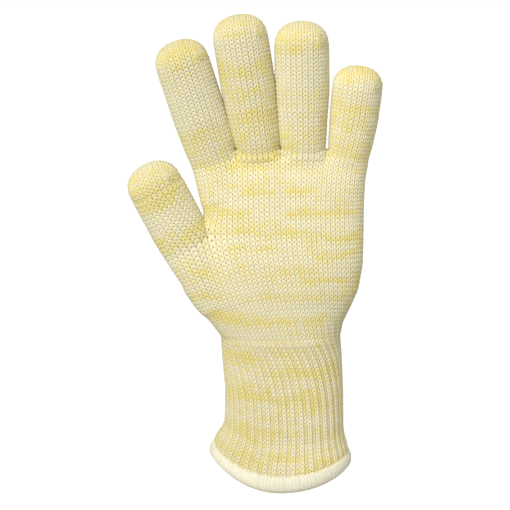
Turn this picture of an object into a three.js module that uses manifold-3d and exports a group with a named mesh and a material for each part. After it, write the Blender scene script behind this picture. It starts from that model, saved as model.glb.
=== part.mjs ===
// A seamless knitted heat-resistant work glove, standing fingers up as it does on a hand: palm at the front
// (-Y), thumb to the left (-X). Its origin is the middle of the wrist opening, level with the hem's lowest
// edge. Millimetres, +Z up.
//
// The machine knits each finger stall as a tube of its own, joins the four at the crotches into the palm,
// joins the thumb stall lower down, and runs on into a ribbed wrist. A thread binds the raw edge as a hem.

import * as THREE from "three";
import { mergeVertices } from "three/addons/utils/BufferGeometryUtils.js";
import Module from "manifold-3d";

const wasm = await Module();
wasm.setup();

// Driving dimensions, in millimetres and degrees.
const wall = 3; // two layers of heavy knit, over the fingers and palm
const seatGap = 0.3; // between two pieces that meet
const knuckleHeight = 202.5; // from the wrist's edge to the crotch of the middle and ring fingers
const palmWidth = 102;
const palmDepth = 38;
const cuffLength = 88;
const wristWidth = 71.2;
const wristDepth = 54;
const wristOffset = 2.2; // the wrist's middle lies a little to the little finger's side
const openingWidth = 83.4;
const openingDepth = 66;
const cuffWall = 2.6;
const ribCount = 40;
const ribHeight = 1; // ridge above groove
const sideRise = 13; // the wrist's edge hangs lowest at the middle of front and back
const sideTilt = 3; // and a little higher on the thumb's side
const hemHeight = 8.5;
const hemLip = 1.2; // thickness of the thread on each face of the edge
const fingerWidth = 32.4; // the middle finger's stall
const fingerLength = 82; // the middle finger's, from its crotch to its tip
const fingerDepthShare = 0.88; // a finger stall's depth against its width
const fingerCurl = 7; // how far a fingertip bends towards the palm's side
const fingerBury = 24; // how far a stall's form runs down into the palm
const thumbLength = 44; // from its crotch plane to its tip
const thumbWidth = 32.8;
const thumbDepth = 29;
const thumbLean = -27.3; // from upright, towards -X
const thumbForward = 4; // it lies towards the palm's side
const thumbCurl = 5;
const thumbBury = 52;
const thumbDrift = 6; // how far the thumb's form bends towards the palm's middle as it runs down
const thumbCrotchHeight = 162;

// Facets round each form.
const fingerSides = 20;
const palmSides = 48;
const cuffInnerSides = 40;
const hemSteps = 40;
const domeRings = 4;
const domeBluntness = 2.5; // a superellipse's power: 2 is round, more is blunter
const palmBluntness = 2.3;

// The finger stalls, from the thumb's side to the little finger's. width and length are shares of the middle
// finger's, lean is in degrees from upright.
const fingers = [
  { name: "index_finger", width: 0.988, length: 0.902, lean: -17.3 },
  { name: "middle_finger", width: 1, length: 1, lean: -8.9 },
  { name: "ring_finger", width: 0.994, length: 0.951, lean: -1.3 },
  { name: "little_finger", width: 0.92, length: 0.652, lean: 6.9 },
];

// Where the stalls' roots begin and end, in the same order: across is a share of the palm's width from its
// middle, and drop, how far the place lies below the highest crotch, is in the same share.
const knuckles = [
  { across: -0.529, drop: 0.1 },
  { across: -0.261, drop: 0.015 },
  { across: -0.002, drop: 0 },
  { across: 0.267, drop: 0.03 },
  { across: 0.52, drop: 0.059 },
];

// How a stall swells from its root width (0) to its full width (1), by share of its length.
const fingerSwell = [
  { along: 0, swell: 0 },
  { along: 0.15, swell: 0.27 },
  { along: 0.4, swell: 0.64 },
  { along: 0.65, swell: 1 },
  { along: 1, swell: 1 },
];

// The hand's sections from the wrist up. height is a share of the way from the cuff to the knuckles; left and
// right are shares of half the palm's width, front and back of half its depth; wrist is how much of the
// section is still the wrist's.
const palmSections = [
  { height: 0, left: 1, right: 1, front: 1, back: 1, wrist: 1 },
  { height: 0.085, left: 1.045, right: 0.82, front: 1.12, back: 1.0, wrist: 0.6 },
  { height: 0.17, left: 1.165, right: 0.89, front: 1.12, back: 0.98, wrist: 0.3 },
  { height: 0.254, left: 1.19, right: 0.945, front: 1.13, back: 0.96, wrist: 0.1 },
  { height: 0.38, left: 1.08, right: 0.97, front: 1.1, back: 0.95, wrist: 0 },
  { height: 0.51, left: 0.98, right: 0.98, front: 1.04, back: 0.93, wrist: 0 },
  { height: 0.65, left: 0.913, right: 0.985, front: 0.98, back: 0.9, wrist: 0 },
  { height: 0.79, left: 0.984, right: 0.99, front: 0.9, back: 0.84, wrist: 0 },
  { height: 0.9, left: 1.02, right: 1.0, front: 0.74, back: 0.7, wrist: 0 },
  { height: 0.97, left: 0.95, right: 0.93, front: 0.58, back: 0.56, wrist: 0 },
];

// The cuff from its edge up. up is a share of its length, shift how much of the wrist's offset it has, flare
// how much of the opening's spread, and rib how deep the ribs are.
const cuffSections = [
  { up: 0, shift: 0, flare: 1, rib: 0 },
  { up: 0.135, shift: 0.2, flare: 0.76, rib: 0 },
  { up: 0.21, shift: 0.6, flare: 0.36, rib: 1 },
  { up: 0.29, shift: 0.95, flare: 0.08, rib: 1 },
  { up: 0.6, shift: 1, flare: 0, rib: 1 },
  { up: 0.85, shift: 0.35, flare: 0.06, rib: 1 },
  { up: 1, shift: 0, flare: 0.2, rib: 0.35 },
];

const radians = THREE.MathUtils.degToRad;
const mix = THREE.MathUtils.lerp;

// A table's column at a place between two rows.
function read(table, key, at, column) {
  const next = table.findIndex((row) => row[key] >= at);
  if (next === -1) return table[table.length - 1][column];
  if (next === 0) return table[0][column];
  const [low, high] = [table[next - 1], table[next]];
  return mix(low[column], high[column], (at - low[key]) / (high[key] - low[key]));
}

// A superellipse of sides points round centre, anticlockwise from above. across and deep are its directions.
function ring({ centre, across, deep, left, right, front, back, bluntness, sides }) {
  return Array.from({ length: sides }, (_, i) => {
    const angle = (2 * Math.PI * i) / sides;
    const [c, s] = [Math.cos(angle), Math.sin(angle)];
    const x = Math.sign(c) * Math.abs(c) ** (2 / bluntness) * (c > 0 ? right : left);
    const y = Math.sign(s) * Math.abs(s) ** (2 / bluntness) * (s > 0 ? back : front);
    return centre.clone().addScaledVector(across, x).addScaledVector(deep, y);
  });
}

// The triangles between two rings of equal length, facing away from their middle.
function bandFaces(first, second, count) {
  const faces = [];
  for (let i = 0; i < count; i++) {
    const j = (i + 1) % count;
    faces.push(first + i, first + j, second + j, first + i, second + j, second + i);
  }
  return faces;
}

function geometryFrom(points, faces) {
  const geometry = new THREE.BufferGeometry().setFromPoints(points);
  geometry.setIndex(faces);
  return geometry;
}

// A closed form through rings that all have the same number of points, from the lowest to the highest.
function loft(rings) {
  const count = rings[0].length;
  const points = rings.flat();
  const faces = rings.slice(1).flatMap((_, k) => bandFaces(k * count, (k + 1) * count, count));
  const middle = (set) => set.reduce((sum, p) => sum.add(p), new THREE.Vector3()).divideScalar(count);
  const lowest = points.push(middle(rings[0])) - 1;
  const highest = points.push(middle(rings[rings.length - 1])) - 1;
  const top = (rings.length - 1) * count;
  for (let i = 0; i < count; i++) {
    const j = (i + 1) % count;
    faces.push(lowest, j, i, highest, top + i, top + j);
  }
  return geometryFrom(points, faces);
}

// A closed ring whose section is carried round: each section is a loop of points.
function sweepRound(sections) {
  const count = sections[0].length;
  const faces = sections.flatMap((_, k) =>
    bandFaces(k * count, ((k + 1) % sections.length) * count, count),
  );
  return geometryFrom(sections.flat(), faces);
}

// Between a three.js geometry and a manifold-3d solid.
function solidOf(geometry) {
  const merged = mergeVertices(geometry, 1e-4);
  return new wasm.Manifold(
    new wasm.Mesh({
      numProp: 3,
      vertProperties: new Float32Array(merged.attributes.position.array),
      triVerts: new Uint32Array(merged.index.array),
    }),
  );
}

function geometryOf(solid) {
  const mesh = solid.getMesh();
  const geometry = new THREE.BufferGeometry();
  const position = new Float32Array(mesh.numVert * 3);
  for (let i = 0; i < mesh.numVert; i++)
    position.set(mesh.vertProperties.subarray(i * mesh.numProp, i * mesh.numProp + 3), i * 3);
  geometry.setAttribute("position", new THREE.BufferAttribute(position, 3));
  geometry.setIndex(new THREE.BufferAttribute(new Uint32Array(mesh.triVerts), 1));
  geometry.computeVertexNormals();
  return geometry;
}

const union = (solids) => solids.reduce((whole, next) => whole.add(next));
const largest = (solid) => solid.decompose().sort((a, b) => b.volume() - a.volume())[0];

const deep = new THREE.Vector3(0, 1, 0);
const sideways = new THREE.Vector3(1, 0, 0);

// A stall is a leaning tube with a blunt dome: root is the middle of its crotch plane.
function stall({ root, lean, length, width, depth, rootShare, bury, drift, curl }) {
  const angle = radians(lean);
  const along = new THREE.Vector3(Math.sin(angle), 0, Math.cos(angle));
  const across = new THREE.Vector3(Math.cos(angle), 0, -Math.sin(angle));
  return { root, along, across, length, width, depth, rootShare, bury, drift, curl };
}

// The stall's form drawn in by inset: 0 is its outside, the wall its inside.
function stallSolid(tube, inset) {
  const full = tube.width / 2;
  const domeHeight = full - inset;
  const domeStart = tube.length - full;
  const section = (distance, shrink) => {
    const share = Math.max(0, distance) / tube.length;
    const width = mix(tube.rootShare, 1, read(fingerSwell, "along", share, "swell"));
    const centre = tube.root.clone().addScaledVector(tube.along, distance);
    centre.y -= tube.curl * share ** 2;
    centre.x += tube.drift * (Math.min(0, distance) / tube.bury) ** 2;
    const halfWidth = ((tube.width / 2) * width - inset) * shrink;
    const halfDepth = ((tube.depth / 2) * width - inset) * shrink;
    return ring({
      centre,
      across: tube.across,
      deep,
      left: halfWidth,
      right: halfWidth,
      front: halfDepth,
      back: halfDepth,
      bluntness: 2,
      sides: fingerSides,
    });
  };
  const straight = [-tube.bury, -tube.bury / 2, 0]
    .concat(fingerSwell.slice(1, -1).map((row) => row.along * tube.length))
    .filter((distance) => distance < domeStart - 1);
  const rings = [...straight, domeStart].map((distance) => section(distance, 1));
  for (let k = 1; k <= domeRings; k++) {
    const turn = (k / (domeRings + 0.35)) * (Math.PI / 2);
    const rise = Math.sin(turn) ** (2 / domeBluntness);
    const shrink = Math.cos(turn) ** (2 / domeBluntness);
    rings.push(section(domeStart + domeHeight * rise, shrink));
  }
  return solidOf(loft(rings));
}

// Everything above the line from one side of a stall's root to the other, lowered by drop.
function aboveRoot(from, to, drop) {
  const size = 4 * knuckleHeight;
  const slope = Math.atan2(to.z - from.z, to.x - from.x);
  const box = new THREE.BoxGeometry(size, size, size);
  box.translate(0, 0, size / 2 - drop);
  box.rotateY(-slope);
  box.translate((from.x + to.x) / 2, 0, (from.z + to.z) / 2);
  box.deleteAttribute("normal");
  box.deleteAttribute("uv");
  return solidOf(box);
}

const edges = knuckles.map(({ across, drop }) => ({
  x: across * palmWidth,
  z: knuckleHeight - drop * palmWidth,
}));

const fingerTubes = fingers.map((finger, i) => {
  const [from, to] = [edges[i], edges[i + 1]];
  const angle = radians(finger.lean);
  const width = finger.width * fingerWidth;
  const rootWidth = (to.x - from.x) * Math.cos(angle) - (to.z - from.z) * Math.sin(angle) - seatGap;
  return stall({
    root: new THREE.Vector3((from.x + to.x) / 2, 0, (from.z + to.z) / 2),
    lean: finger.lean,
    length: finger.length * fingerLength,
    width,
    depth: width * fingerDepthShare,
    rootShare: rootWidth / width,
    bury: fingerBury,
    drift: 0,
    curl: fingerCurl,
  });
});

// The thumb's crotch lies on the palm's left side, and its root plane runs down and out from there.
const handHeight = knuckleHeight - cuffLength;
const cuffTopFlare = read(cuffSections, "up", 1, "flare");
const cuffTopWidth = mix(wristWidth, openingWidth, cuffTopFlare);
const cuffTopDepth = mix(wristDepth, openingDepth, cuffTopFlare);
const crotchShare = (thumbCrotchHeight - cuffLength) / handHeight;
const crotchX = -(palmWidth / 2) * read(palmSections, "height", crotchShare, "left");
const thumbAngle = radians(thumbLean);
const thumbEdges = [
  {
    x: crotchX - thumbWidth * Math.cos(thumbAngle),
    z: thumbCrotchHeight + thumbWidth * Math.sin(thumbAngle),
  },
  { x: crotchX, z: thumbCrotchHeight },
];
const thumbTube = stall({
  root: new THREE.Vector3(
    (thumbEdges[0].x + thumbEdges[1].x) / 2,
    -thumbForward,
    (thumbEdges[0].z + thumbEdges[1].z) / 2,
  ),
  lean: thumbLean,
  length: thumbLength,
  width: thumbWidth,
  depth: thumbDepth,
  rootShare: 1,
  bury: thumbBury,
  drift: thumbDrift,
  curl: thumbCurl,
});

// The hand without its stalls, drawn in by inset, from below up to the knuckles.
function handCore(inset, below) {
  const rings = palmSections.map((row, k) => {
    const size = (share, palmSize, wristSize) =>
      mix((palmSize / 2) * share, wristSize / 2, row.wrist) - inset;
    const top = k === palmSections.length - 1 ? inset : 0;
    return ring({
      centre: new THREE.Vector3(
        0,
        0,
        cuffLength + row.height * handHeight - top - (k === 0 ? below : 0),
      ),
      across: sideways,
      deep,
      left: size(row.left, palmWidth, cuffTopWidth),
      right: size(row.right, palmWidth, cuffTopWidth),
      front: size(row.front, palmDepth, cuffTopDepth),
      back: size(row.back, palmDepth, cuffTopDepth),
      bluntness: palmBluntness,
      sides: palmSides,
    });
  });
  return solidOf(loft(rings));
}

const tubes = [...fingerTubes, thumbTube];
const roots = [...fingers.map((_, i) => [edges[i], edges[i + 1]]), thumbEdges];
const stallNames = [...fingers.map((finger) => finger.name), "thumb"];
const outsides = tubes.map((tube) => stallSolid(tube, 0));
const insides = tubes.map((tube) => stallSolid(tube, wall));
const inside = union([handCore(wall, 2 * seatGap), ...insides]);

// Each stall above its root, clear of the one before it.
const stalls = tubes.map((tube, i) => {
  const cut = outsides[i].intersect(aboveRoot(...roots[i], 0)).subtract(insides[i]);
  const clear = i === 0 || i === fingers.length ? cut : cut.subtract(stallSolid(tubes[i - 1], -seatGap));
  return largest(clear);
});

// The palm is what is left of the whole hand once each stall has its room.
const palm = tubes.reduce((rest, tube, i) => {
  const room = stallSolid(tube, -seatGap).intersect(aboveRoot(...roots[i], seatGap));
  return rest.subtract(room);
}, union([handCore(0, -seatGap), ...outsides]).subtract(inside));

// A point of the cuff's wall: round is an angle from +X, up a share of its length, inset a distance inwards.
function cuffPoint(round, up, inset) {
  const flare = read(cuffSections, "up", up, "flare");
  const middle = wristOffset * read(cuffSections, "up", up, "shift");
  const halfWidth = mix(wristWidth, openingWidth, flare) / 2 - inset;
  const halfDepth = mix(wristDepth, openingDepth, flare) / 2 - inset;
  const [c, s] = [Math.cos(round), Math.sin(round)];
  const power = 2 / palmBluntness;
  const x = Math.sign(c) * Math.abs(c) ** power;
  const y = Math.sign(s) * Math.abs(s) ** power;
  const rise = (sideRise * x * x - sideTilt * x * Math.abs(x)) * (1 - up) ** 2;
  return new THREE.Vector3(middle + x * halfWidth, y * halfDepth, up * cuffLength + rise);
}

// A loop round the cuff, with its ribs cut in by depth, or plain.
function cuffLoop(up, inset, count, ribs) {
  return Array.from({ length: count }, (_, i) => {
    const inGroove = ribs && i % 4 > 1;
    const depth = inGroove ? ribHeight * read(cuffSections, "up", up, "rib") : 0;
    return cuffPoint((2 * Math.PI * i) / count, up, inset + depth);
  });
}

// The cuff is a ribbed tube round a plain one, open at both ends.
function cuffSolid() {
  const levels = cuffSections.map((row) => row.up);
  const lift = (loop, height) => loop.map((p) => new THREE.Vector3(p.x, p.y, p.z + height));
  const edge = cuffLoop(0, 2 * cuffWall, ribCount * 4, false);
  const outer = [edge, ...levels.map((up) => cuffLoop(up, 0, ribCount * 4, true))];
  const inner = levels.map((up) => cuffLoop(up, cuffWall, cuffInnerSides, false));
  inner.unshift(lift(inner[0], -hemHeight));
  inner.push(lift(inner[inner.length - 1], hemHeight));
  return solidOf(loft(outer)).subtract(solidOf(loft(inner)));
}

// The hem wraps the cuff's edge as a channel: its section, as distance outwards from the wall's middle and
// height above the cuff's edge.
function hemSolid() {
  const inner = cuffWall / 2 + seatGap;
  const outer = inner + hemLip;
  const foot = -seatGap - hemLip;
  const top = hemHeight + foot;
  const section = [
    { out: inner, up: -seatGap },
    { out: inner, up: top },
    { out: outer - hemLip * 0.3, up: top },
    { out: outer, up: top - hemLip },
    { out: outer, up: -seatGap },
    { out: outer - hemLip * 0.5, up: foot },
    { out: -outer + hemLip * 0.5, up: foot },
    { out: -outer, up: -seatGap },
    { out: -outer, up: top - hemLip },
    { out: -outer + hemLip * 0.3, up: top },
    { out: -inner, up: top },
    { out: -inner, up: -seatGap },
  ];
  const loops = Array.from({ length: hemSteps }, (_, k) => {
    const round = (2 * Math.PI * k) / hemSteps;
    const edgeRise = cuffPoint(round, 0, 0).z;
    return section.map(({ out, up }) => {
      const share = Math.max(0, up) / (cuffLength - 2 * edgeRise);
      const place = cuffPoint(round, share, cuffWall / 2 - out);
      return new THREE.Vector3(place.x, place.y, edgeRise + up);
    });
  });
  return solidOf(sweepRound(loops));
}

// The lowest edge of the hem stands at the height of the origin.
const hemFoot = hemLip + seatGap;

const knit = new THREE.MeshStandardMaterial({ color: 0xeee2b0, roughness: 0.92, metalness: 0 });
const rib = new THREE.MeshStandardMaterial({ color: 0xded2a0, roughness: 0.92, metalness: 0 });
const thread = new THREE.MeshStandardMaterial({ color: 0xf3ecc6, roughness: 0.88, metalness: 0 });

const glove = new THREE.Group();
glove.position.z = hemFoot;

function addPiece(name, solid, material) {
  const mesh = new THREE.Mesh(geometryOf(solid), material);
  mesh.name = name;
  glove.add(mesh);
}

stalls.forEach((solid, i) => addPiece(stallNames[i], solid, knit));
addPiece("palm", largest(palm), knit);
addPiece("rib_cuff", cuffSolid(), rib);
addPiece("hem", hemSolid(), thread);

export default glove;
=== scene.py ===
# %% [markdown]
# # A knitted heat-resistant glove
#
# The glove is knitted on one machine from thick aramid yarn: five stalls, a palm, a ribbed wrist, and a hem
# of thread over the raw edge. Each part is built here the way it is knitted: a ring of loops, course after
# course, and every loop gets its own two legs of yarn. The frame gives the place and the size.

# %% Load the frame
import math
import bmesh
import bpy
import numpy as np
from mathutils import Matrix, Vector


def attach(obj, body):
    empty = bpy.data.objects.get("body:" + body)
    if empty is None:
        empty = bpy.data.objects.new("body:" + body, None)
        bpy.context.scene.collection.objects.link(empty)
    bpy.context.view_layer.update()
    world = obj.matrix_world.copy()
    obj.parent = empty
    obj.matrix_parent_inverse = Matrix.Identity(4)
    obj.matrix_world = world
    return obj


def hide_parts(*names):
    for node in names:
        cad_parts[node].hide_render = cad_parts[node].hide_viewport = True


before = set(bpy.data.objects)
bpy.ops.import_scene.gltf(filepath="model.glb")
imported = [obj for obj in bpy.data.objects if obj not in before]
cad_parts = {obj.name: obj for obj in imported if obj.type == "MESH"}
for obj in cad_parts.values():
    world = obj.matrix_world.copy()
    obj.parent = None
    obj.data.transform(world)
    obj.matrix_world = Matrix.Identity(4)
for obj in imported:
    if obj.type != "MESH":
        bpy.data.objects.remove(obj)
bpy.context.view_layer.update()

# %% [markdown]
# ## Sizes
#
# Lengths are in millimetres until a mesh is made, where MM turns them to metres. The stalls' places, widths
# and leans are those of the plain glove in the frame, so that the knitting lies where its parts are. A
# course is a row of loops round the glove, and a wale is a column of loops along it.

# %% Sizes of the glove and its knitting
MM = 0.001
COURSE = 2.55  # height of a course
SINK = 1.3  # the cloth's ground lies this far inside the solid's outside, and the loops stand out from it

STALLS = {
    "index_finger": dict(width=32.0, length=74.0, lean=-17.3),
    "middle_finger": dict(width=32.4, length=82.0, lean=-8.9),
    "ring_finger": dict(width=32.2, length=78.0, lean=-1.3),
    "little_finger": dict(width=29.8, length=55.0, lean=6.9),
}
THUMB = dict(width=32.8, length=44.0, lean=-27.3)
KNUCKLES = [(-54.0, 193.8), (-26.6, 202.5), (-0.2, 204.0), (27.2, 200.9), (53.0, 198.0)]  # x and height
THUMB_CROTCH = (-46.6, 163.5)
SWELL = [(0, 0), (0.13, 0.32), (0.26, 0.62), (0.36, 0.87), (0.45, 1), (1, 1)]  # along, how far to full width
PALM = [  # height, left, right, front, back
    (89.5, 36.4, 36.4, 27.0, 27.0),
    (99.2, 43.5, 38.5, 25.4, 24.4),
    (109.0, 52.6, 43.2, 22.6, 20.6),
    (118.6, 58.4, 47.1, 21.8, 18.6),
    (133.0, 55.0, 49.6, 20.6, 17.8),
    (148.0, 50.0, 50.0, 19.6, 17.4),
    (164.0, 46.6, 50.2, 18.4, 16.8),
    (180.0, 49.0, 50.4, 16.6, 15.6),
    (192.0, 49.0, 49.0, 13.6, 12.8),
    (200.5, 45.0, 45.0, 10.6, 10.2),
]
CUFF = [  # up, shift, flare
    (0, 0, 1),
    (0.135, 0.44, 0.76),
    (0.21, 1.3, 0.36),
    (0.29, 2.1, 0.08),
    (0.6, 2.2, 0),
    (0.85, 0.8, 0.06),
    (1, 0, 0.03),
]
CUFF_LENGTH = 88.0
WRIST_HALF, WRIST_DEEP = 35.6, 27.0  # half the wrist's width and depth
FLARE_WIDE, FLARE_DEEP = 6.1, 6.0  # how much the foot is wider and deeper on each side
HEM_FOOT = 1.5  # height of the hem's lowest line over the ground
HANG, TILT = 13.0, 3.0  # the edge rises so much at the sides, and the left side so much more
OVAL_POWER = 2.3  # power of the palm's and cuff's blunt ovals: 2 is a plain oval
print("stalls:", len(STALLS) + 1, "- courses", COURSE, "mm high - cuff", CUFF_LENGTH, "mm long")


def table(rows, at, column):
    """Reads a column of a short table at a place between its rows."""
    return np.interp(at, [row[0] for row in rows], [row[column] for row in rows])


# %% [markdown]
# ## A stall's form
#
# A stall is a tube round a leaning axis, a little flatter than it is wide, with a blunt dome. Its points are
# found from the distance along the axis and the place across and through it. The palm's side is -Y.


# %% The stalls' tubes
class Tube:
    """A stall's round form: where its ground is, and how far a point lies outside it.

    In mm, curl bends its tip to the front, bury is how far it goes on inside the palm, and drift moves that
    buried end to the right.
    """

    def __init__(self, root, lean, length, width, depth_share, root_width, curl, bury, drift):
        angle = math.radians(lean)
        self.root = np.array(root, float)
        self.along = np.array([math.sin(angle), 0, math.cos(angle)])
        self.across = np.array([math.cos(angle), 0, -math.sin(angle)])
        self.length, self.width, self.root_width = length, width, root_width
        self.depth_share, self.curl, self.bury, self.drift = depth_share, curl, bury, drift
        self.dome_start = length - width / 2

    def half_width(self, s):
        swell = table(SWELL, np.clip(s / self.length, 0, 1), 1)
        return (self.root_width + (self.width - self.root_width) * swell) / 2

    def centre(self, s):
        s = np.asarray(s, float)[..., None]
        bend = self.curl * np.clip(s / self.length, 0, None) ** 2
        drift = self.drift * (np.minimum(s, 0) / self.bury) ** 2
        return self.root + s * self.along - bend * np.array([0, 1, 0]) + drift * np.array([1, 0, 0])

    def point(self, s, x, y):
        """A point at distance s along the axis, x across and y deep from it."""
        return self.centre(s) + np.asarray(x)[..., None] * self.across + np.asarray(y)[..., None] * [0, 1, 0]

    def outside(self, points):
        """About how far each point lies outside the tube, which has no dome here."""
        rel = points - self.root
        s = rel @ self.along
        q = points - self.centre(s)
        x, y = q @ self.across, q[:, 1]
        half = np.maximum(self.half_width(s) - SINK, 1)
        deep = np.maximum(self.half_width(s) * self.depth_share - SINK, 1)
        g = np.sqrt((x / half) ** 2 + (y / deep) ** 2) + 1e-6
        slope = np.sqrt(x**2 / half**4 + y**2 / deep**4) / g + 1e-6
        return np.maximum((g - 1) / slope, -(s + self.bury))


FINGER_DEPTH, THUMB_DEPTH = 0.88, 0.884  # shares of the width
FINGER_CURL, THUMB_CURL = 7, 5
FINGER_BURY, THUMB_BURY = 24, 52
LITTLE_DRIFT, THUMB_DRIFT = -4, 6  # these keep the buried ends inside the palm's outline
THUMB_FORWARD = 4  # the thumb's root lies so far in front of the fingers'

tubes = {}
for (name, size), (x0, z0), (x1, z1) in zip(STALLS.items(), KNUCKLES, KNUCKLES[1:]):
    turn = math.radians(size["lean"])
    root_width = (x1 - x0) * math.cos(turn) - (z1 - z0) * math.sin(turn)
    root = ((x0 + x1) / 2, 0, (z0 + z1) / 2)
    drift = LITTLE_DRIFT if name == "little_finger" else 0
    tubes[name] = Tube(root, size["lean"], size["length"], size["width"], FINGER_DEPTH, root_width,
                       FINGER_CURL, FINGER_BURY, drift)
turn = math.radians(THUMB["lean"])
half = THUMB["width"] / 2
root = (THUMB_CROTCH[0] - half * math.cos(turn), -THUMB_FORWARD, THUMB_CROTCH[1] + half * math.sin(turn))
tubes["thumb"] = Tube(root, THUMB["lean"], THUMB["length"], THUMB["width"], THUMB_DEPTH, THUMB["width"],
                      THUMB_CURL, THUMB_BURY, THUMB_DRIFT)
print("widths at the roots in mm:", {name: round(tube.root_width, 1) for name, tube in tubes.items()})


def palm_outside(points):
    """About how far each point lies outside the palm, whose sections are blunt ovals."""
    x, y, z = points.T
    half = np.where(x < 0, table(PALM, z, 1), table(PALM, z, 2)) - SINK
    deep = np.where(y < 0, table(PALM, z, 3), table(PALM, z, 4)) - SINK
    power = OVAL_POWER
    g = ((np.abs(x) / half) ** power + (np.abs(y) / deep) ** power) ** (1 / power) + 1e-6
    slope_x = (np.abs(x) / half) ** (power - 1) / half
    slope_y = (np.abs(y) / deep) ** (power - 1) / deep
    slope = np.hypot(slope_x, slope_y) / g ** (power - 1) + 1e-6
    return np.maximum((g - 1) / slope, z - PALM[-1][0])


# %% [markdown]
# ## The net of loops
#
# A finger has 28 wales: eight in front, six to each side and eight behind. Where two fingers meet, the six
# wales between them end against each other, so the palm takes over 76. The thumb ends against twelve wales
# of the palm, which leaves 80 for the wrist, enough for forty ribs. In bmesh each tube starts as a small
# circle at the tip, and every course is one extrusion of its lowest ring.

# %% Knit the net course by course
WALES = 28  # round each stall
FRONT, SIDE = 8, 6  # wales of a finger in front and behind, and to each side
DOME_COURSES = 6
MORE_COURSES = {"thumb": 4}  # courses that a stall has past its root: the fingers have one
PALM_COURSES, HEEL_COURSES, CUFF_COURSES = 16, 26, 34
SHARED = 12  # wales of the palm that end against the thumb's
THUMB_TOP = 3  # how many of these lie in front
net = bmesh.new()
rings = {}


def cast_on(mesh, wales, closed=False):
    """A first ring of loops, to be knitted downwards."""
    made = bmesh.ops.create_circle(mesh, cap_ends=closed, radius=1, segments=wales)
    return list(made["verts"])


def knit_down(mesh, ring, courses):
    """Adds courses below a ring and returns all the rings, the first one included."""
    rows = [ring]
    for _ in range(courses):
        ring = rows[-1]
        count = len(ring)
        ring_edges = [mesh.edges.get((ring[w], ring[(w + 1) % count])) for w in range(count)]
        made = bmesh.ops.extrude_edge_only(mesh, edges=ring_edges)["geom"]
        fresh = {item for item in made if isinstance(item, bmesh.types.BMVert)}
        below = []
        for vert in ring:
            below.append(next(e.other_vert(vert) for e in vert.link_edges if e.other_vert(vert) in fresh))
        rows.append(below)
    return rows


def graft(kept, ended):
    """Joins loops of two tubes, pair by pair. The ended ones give way to the kept ones."""
    pairs = {gone: stay for stay, gone in zip(kept, ended)}
    bmesh.ops.weld_verts(net, targetmap=pairs)
    for rows in rings.values():
        for ring in rows:
            ring[:] = [pairs.get(vert, vert) for vert in ring]


for name, tube in tubes.items():
    courses = DOME_COURSES + round(tube.dome_start / COURSE) + MORE_COURSES.get(name, 1)
    rings[name] = knit_down(net, cast_on(net, WALES, closed=True), courses)

order = list(STALLS)
for left, right in zip(order, order[1:]):
    a, b = rings[left][-1], rings[right][-1]
    graft([a[FRONT + k] for k in range(SIDE + 1)], [b[-k % WALES] for k in range(SIDE + 1)])

fingers = [rings[name][-1] for name in order]
palm_ring = [vert for ring in fingers for vert in ring[:FRONT]]
palm_ring += fingers[-1][FRONT:FRONT + SIDE]
palm_ring += [vert for ring in reversed(fingers) for vert in ring[FRONT + SIDE:2 * FRONT + SIDE]]
palm_ring += fingers[0][2 * FRONT + SIDE:]
rings["palm"] = knit_down(net, palm_ring, PALM_COURSES)

low = rings["palm"][-1]
crotch = [low[(THUMB_TOP - k) % len(low)] for k in range(SHARED + 1)]
graft(crotch, rings["thumb"][-1][:SHARED + 1])
kept = len(low) - SHARED + 1
heel_ring = low[THUMB_TOP:THUMB_TOP + kept] + rings["thumb"][-1][SHARED + 1:]
rings["heel"] = knit_down(net, heel_ring, HEEL_COURSES)
rings["cuff"] = knit_down(net, rings["heel"][-1], CUFF_COURSES)
bmesh.ops.recalc_face_normals(net, faces=net.faces)
net.verts.index_update()
index = {name: np.array([[v.index for v in ring] for ring in rows]) for name, rows in rings.items()}
links = np.array([[v.index for v in e.verts] for e in net.edges])
print("net:", len(net.verts), "joints,", len(net.faces), "loops,", len(heel_ring), "wales at the wrist")

# %% [markdown]
# ## Where the loops lie
#
# Each stall's loops are set out round its tube, and the palm's are spread between the rings above and below.
# Then every free joint moves towards the middle of its neighbours and back to the glove's form, many times
# over. That is what the pull of the yarn does on the machine, and it makes the wales run smoothly from the
# fingers into the palm. The first step sets out the joints and says which of them are free.

# %% Set out the loops
place = np.zeros((len(net.verts), 3))
free = np.ones(len(net.verts))
reach = np.ones(len(net.verts))  # how much a joint feels the forms other than its own
owner = np.zeros(len(net.verts), int)
palm_n = len(tubes)
finger_turns = np.radians(360 / WALES * (np.arange(WALES) - FRONT / 2) - 90)
thumb_turns = np.radians(360 / WALES * (np.arange(WALES) - SHARED / 2))
BLUNT = 2.5  # power of a dome's outline: 2 is a round one
FIXED_ABOVE, FREE_BELOW = 10, 6  # courses above a stall's root
FEELS_BELOW = 4  # up to so many courses above its root a stall blends with its neighbours


def dome(tube, climb):
    """Shares of width and height at a climb in degrees, 0 at a dome's foot and 90 at its top."""
    width = np.cos(np.radians(climb)) ** (2 / BLUNT)
    height = np.sin(np.radians(climb)) ** (2 / BLUNT)
    return width, height * (tube.width / 2 - SINK)


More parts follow.
